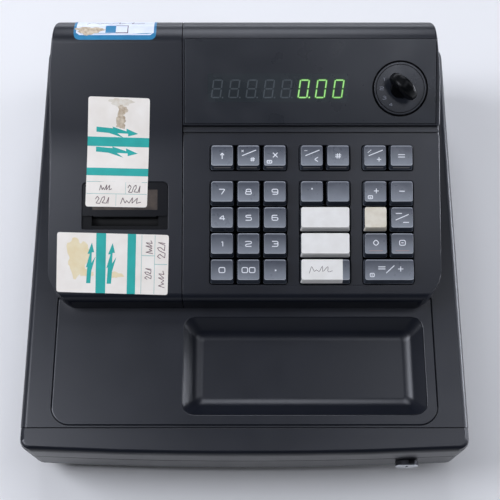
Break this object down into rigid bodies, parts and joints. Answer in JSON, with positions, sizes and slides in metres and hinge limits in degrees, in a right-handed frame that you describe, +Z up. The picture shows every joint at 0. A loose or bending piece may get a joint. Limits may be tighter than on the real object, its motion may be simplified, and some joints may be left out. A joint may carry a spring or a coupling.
{
  "type": "electronic cash register",
  "caption": "Compact cash register: drawer base with coin tray, sloped keyboard console, display, mode switch and a receipt printer under a lift-off cover.",
  "frame": {"origin": "middle of the footprint, on the surface that the feet stand on", "axes": "+X to the right as seen by the clerk, +Y to the back, +Z up"},
  "size_m": [0.326, 0.345, 0.1778],
  "materials": {
    "case_plastic": "fine spark-eroded texture",
    "smoked_window": "smoked acrylic, satin",
    "amber_window": "clear amber acrylic",
    "tube_glass": "sealed display glass",
    "inner_plastic": "moulded",
    "board": "solder-masked board",
    "steel": "zinc plated",
    "drawer_paint": "powder coated sheet",
    "chrome": "polished",
    "rubber": "matte",
    "drum": "type drum",
    "paper": "thermal paper roll",
    "key_white": "grey cap under a white paper label",
    "key_grey": "clear cap over a grey insert"
  },
  "bodies": {
    "root": {"lower_case": "case_plastic", "upper_case": "case_plastic", "tray_panel": "case_plastic", "console_case": "case_plastic", "key_frame": "inner_plastic", "circuit_boards": "board", "display_window": "smoked_window", "display_tubes": "tube_glass", "customer_window": "smoked_window", "transformer": "steel", "cord_bushing": "rubber", "feet": "rubber", "screws": "steel", "printer_frame": "inner_plastic", "printer_motor": "steel"},
    "printer_cover": {"printer_cover": "case_plastic", "receipt_window": "amber_window"},
    "lock_barrel": {"lock_barrel": "inner_plastic"},
    "mode_key": {"mode_key": "inner_plastic"},
    "drawer": {"drawer_box": "drawer_paint", "drawer_front": "case_plastic", "cash_insert": "inner_plastic"},
    "note_clip_left": {"note_clip_left": "steel"},
    "note_clip_middle": {"note_clip_middle": "steel"},
    "note_clip_right": {"note_clip_right": "steel"},
    "drawer_lock": {"drawer_lock": "chrome"},
    "feed_roller": {"feed_roller": "rubber"},
    "print_drum": {"print_drum": "drum"},
    "paper_roll": {"paper_roll": "paper"},
    "key_0": {"key_0": "key_grey"},
    "key_00": {"key_00": "key_grey"},
    "key_point": {"key_point": "key_grey"},
    "key_1": {"key_1": "key_grey"},
    "key_2": {"key_2": "key_grey"},
    "key_3": {"key_3": "key_grey"},
    "key_4": {"key_4": "key_grey"},
    "key_5": {"key_5": "key_grey"},
    "key_6": {"key_6": "key_grey"},
    "key_7": {"key_7": "key_grey"},
    "key_8": {"key_8": "key_grey"},
    "key_9": {"key_9": "key_grey"},
    "key_feed": {"key_feed": "key_grey"},
    "key_date": {"key_date": "key_grey"},
    "key_clear": {"key_clear": "key_grey"},
    "key_department_1": {"key_department_1": "key_white"},
    "key_department_2": {"key_department_2": "key_white"},
    "key_department_3": {"key_department_3": "key_white"},
    "key_department_4": {"key_department_4": "key_grey"},
    "key_department_5": {"key_department_5": "key_grey"},
    "key_correct": {"key_correct": "key_grey"},
    "key_lookup": {"key_lookup": "key_grey"},
    "key_cash": {"key_cash": "key_grey"},
    "key_subtotal": {"key_subtotal": "key_grey"},
    "key_charge": {"key_charge": "key_grey"},
    "key_balance": {"key_balance": "key_grey"},
    "key_cheque": {"key_cheque": "key_grey"},
    "key_received": {"key_received": "key_grey"},
    "key_paid_out": {"key_paid_out": "key_grey"},
    "key_percent": {"key_percent": "key_grey"},
    "key_tax": {"key_tax": "key_grey"}
  },
  "joints": [
    {"name": "printer_cover_lift", "type": "slide", "parent": "root", "child": "printer_cover", "axis": [0, 0, 1], "range_m": [0, 0.12]},
    {"name": "mode_switch_turn", "type": "hinge", "parent": "root", "child": "lock_barrel", "pos_m": [0.115, 0.08844, 0.15101], "axis": [0, -0.4067, 0.9135], "range_deg": [0, 105]},
    {"name": "mode_key_pull", "type": "slide", "parent": "lock_barrel", "child": "mode_key", "axis": [0, -0.4067, 0.9135], "range_m": [0, 0.02]},
    {"name": "drawer_slide", "type": "slide", "parent": "root", "child": "drawer", "axis": [0, -1, 0], "range_m": [0, 0.2]},
    {"name": "drawer_lock_turn", "type": "hinge", "parent": "drawer", "child": "drawer_lock", "pos_m": [0.122, -0.165, 0.042], "axis": [0, -1, 0], "range_deg": [0, 90]},
    {"name": "note_clip_left_lift", "type": "hinge", "parent": "drawer", "child": "note_clip_left", "pos_m": [-0.09807, 0.1057, 0.051], "axis": [-1, 0, 0], "range_deg": [0, 25], "stiffness_Nm_per_rad": 0.02, "springref_deg": -28.65},
    {"name": "note_clip_middle_lift", "type": "hinge", "parent": "drawer", "child": "note_clip_middle", "pos_m": [0, 0.1057, 0.051], "axis": [-1, 0, 0], "range_deg": [0, 25], "stiffness_Nm_per_rad": 0.02, "springref_deg": -28.65},
    {"name": "note_clip_right_lift", "type": "hinge", "parent": "drawer", "child": "note_clip_right", "pos_m": [0.09807, 0.1057, 0.051], "axis": [-1, 0, 0], "range_deg": [0, 25], "stiffness_Nm_per_rad": 0.02, "springref_deg": -28.65},
    {"name": "print_drum_turn", "type": "hinge", "parent": "root", "child": "print_drum", "pos_m": [-0.088, -0.01, 0.097], "axis": [1, 0, 0], "continuous": true},
    {"name": "feed_roller_turn", "type": "hinge", "parent": "root", "child": "feed_roller", "pos_m": [-0.088, 0.00071, 0.10771], "axis": [1, 0, 0], "continuous": true},
    {"name": "paper_roll_turn", "type": "hinge", "parent": "root", "child": "paper_roll", "pos_m": [-0.088, 0.075, 0.111], "axis": [1, 0, 0], "continuous": true},
    {"name": "key_0_press", "type": "slide", "parent": "root", "child": "key_0", "axis": [0, 0.2756, -0.9613], "range_m": [0, 0.0035], "stiffness_N_per_m": 150, "springref_m": -0.002},
    {"name": "key_00_press", "type": "slide", "parent": "root", "child": "key_00", "axis": [0, 0.2756, -0.9613], "range_m": [0, 0.0035], "stiffness_N_per_m": 150, "springref_m": -0.002},
    {"name": "key_point_press", "type": "slide", "parent": "root", "child": "key_point", "axis": [0, 0.2756, -0.9613], "range_m": [0, 0.0035], "stiffness_N_per_m": 150, "springref_m": -0.002},
    {"name": "key_1_press", "type": "slide", "parent": "root", "child": "key_1", "axis": [0, 0.2756, -0.9613], "range_m": [0, 0.0035], "stiffness_N_per_m": 150, "springref_m": -0.002},
    {"name": "key_2_press", "type": "slide", "parent": "root", "child": "key_2", "axis": [0, 0.2756, -0.9613], "range_m": [0, 0.0035], "stiffness_N_per_m": 150, "springref_m": -0.002},
    {"name": "key_3_press", "type": "slide", "parent": "root", "child": "key_3", "axis": [0, 0.2756, -0.9613], "range_m": [0, 0.0035], "stiffness_N_per_m": 150, "springref_m": -0.002},
    {"name": "key_4_press", "type": "slide", "parent": "root", "child": "key_4", "axis": [0, 0.2756, -0.9613], "range_m": [0, 0.0035], "stiffness_N_per_m": 150, "springref_m": -0.002},
    {"name": "key_5_press", "type": "slide", "parent": "root", "child": "key_5", "axis": [0, 0.2756, -0.9613], "range_m": [0, 0.0035], "stiffness_N_per_m": 150, "springref_m": -0.002},
    {"name": "key_6_press", "type": "slide", "parent": "root", "child": "key_6", "axis": [0, 0.2756, -0.9613], "range_m": [0, 0.0035], "stiffness_N_per_m": 150, "springref_m": -0.002},
    {"name": "key_7_press", "type": "slide", "parent": "root", "child": "key_7", "axis": [0, 0.2756, -0.9613], "range_m": [0, 0.0035], "stiffness_N_per_m": 150, "springref_m": -0.002},
    {"name": "key_8_press", "type": "slide", "parent": "root", "child": "key_8", "axis": [0, 0.2756, -0.9613], "range_m": [0, 0.0035], "stiffness_N_per_m": 150, "springref_m": -0.002},
    {"name": "key_9_press", "type": "slide", "parent": "root", "child": "key_9", "axis": [0, 0.2756, -0.9613], "range_m": [0, 0.0035], "stiffness_N_per_m": 150, "springref_m": -0.002},
    {"name": "key_feed_press", "type": "slide", "parent": "root", "child": "key_feed", "axis": [0, 0.2756, -0.9613], "range_m": [0, 0.0035], "stiffness_N_per_m": 150, "springref_m": -0.002},
    {"name": "key_date_press", "type": "slide", "parent": "root", "child": "key_date", "axis": [0, 0.2756, -0.9613], "range_m": [0, 0.0035], "stiffness_N_per_m": 150, "springref_m": -0.002},
    {"name": "key_clear_press", "type": "slide", "parent": "root", "child": "key_clear", "axis": [0, 0.2756, -0.9613], "range_m": [0, 0.0035], "stiffness_N_per_m": 150, "springref_m": -0.002},
    {"name": "key_department_1_press", "type": "slide", "parent": "root", "child": "key_department_1", "axis": [0, 0.2756, -0.9613], "range_m": [0, 0.0035], "stiffness_N_per_m": 150, "springref_m": -0.002},
    {"name": "key_department_2_press", "type": "slide", "parent": "root", "child": "key_department_2", "axis": [0, 0.2756, -0.9613], "range_m": [0, 0.0035], "stiffness_N_per_m": 150, "springref_m": -0.002},
    {"name": "key_department_3_press", "type": "slide", "parent": "root", "child": "key_department_3", "axis": [0, 0.2756, -0.9613], "range_m": [0, 0.0035], "stiffness_N_per_m": 150, "springref_m": -0.002},
    {"name": "key_department_4_press", "type": "slide", "parent": "root", "child": "key_department_4", "axis": [0, 0.2756, -0.9613], "range_m": [0, 0.0035], "stiffness_N_per_m": 150, "springref_m": -0.002},
    {"name": "key_department_5_press", "type": "slide", "parent": "root", "child": "key_department_5", "axis": [0, 0.2756, -0.9613], "range_m": [0, 0.0035], "stiffness_N_per_m": 150, "springref_m": -0.002},
    {"name": "key_correct_press", "type": "slide", "parent": "root", "child": "key_correct", "axis": [0, 0.2756, -0.9613], "range_m": [0, 0.0035], "stiffness_N_per_m": 150, "springref_m": -0.002},
    {"name": "key_lookup_press", "type": "slide", "parent": "root", "child": "key_lookup", "axis": [0, 0.2756, -0.9613], "range_m": [0, 0.0035], "stiffness_N_per_m": 150, "springref_m": -0.002},
    {"name": "key_cash_press", "type": "slide", "parent": "root", "child": "key_cash", "axis": [0, 0.2756, -0.9613], "range_m": [0, 0.0035], "stiffness_N_per_m": 150, "springref_m": -0.002},
    {"name": "key_subtotal_press", "type": "slide", "parent": "root", "child": "key_subtotal", "axis": [0, 0.2756, -0.9613], "range_m": [0, 0.0035], "stiffness_N_per_m": 150, "springref_m": -0.002},
    {"name": "key_charge_press", "type": "slide", "parent": "root", "child": "key_charge", "axis": [0, 0.2756, -0.9613], "range_m": [0, 0.0035], "stiffness_N_per_m": 150, "springref_m": -0.002},
    {"name": "key_balance_press", "type": "slide", "parent": "root", "child": "key_balance", "axis": [0, 0.2756, -0.9613], "range_m": [0, 0.0035], "stiffness_N_per_m": 150, "springref_m": -0.002},
    {"name": "key_cheque_press", "type": "slide", "parent": "root", "child": "key_cheque", "axis": [0, 0.2756, -0.9613], "range_m": [0, 0.0035], "stiffness_N_per_m": 150, "springref_m": -0.002},
    {"name": "key_received_press", "type": "slide", "parent": "root", "child": "key_received", "axis": [0, 0.2756, -0.9613], "range_m": [0, 0.0035], "stiffness_N_per_m": 150, "springref_m": -0.002},
    {"name": "key_paid_out_press", "type": "slide", "parent": "root", "child": "key_paid_out", "axis": [0, 0.2756, -0.9613], "range_m": [0, 0.0035], "stiffness_N_per_m": 150, "springref_m": -0.002},
    {"name": "key_percent_press", "type": "slide", "parent": "root", "child": "key_percent", "axis": [0, 0.2756, -0.9613], "range_m": [0, 0.0035], "stiffness_N_per_m": 150, "springref_m": -0.002},
    {"name": "key_tax_press", "type": "slide", "parent": "root", "child": "key_tax", "axis": [0, 0.2756, -0.9613], "range_m": [0, 0.0035], "stiffness_N_per_m": 150, "springref_m": -0.002}
  ],
  "couplings": [
    {"joint": "feed_roller_turn", "follows": "print_drum_turn", "ratio": -1.5}
  ]
}
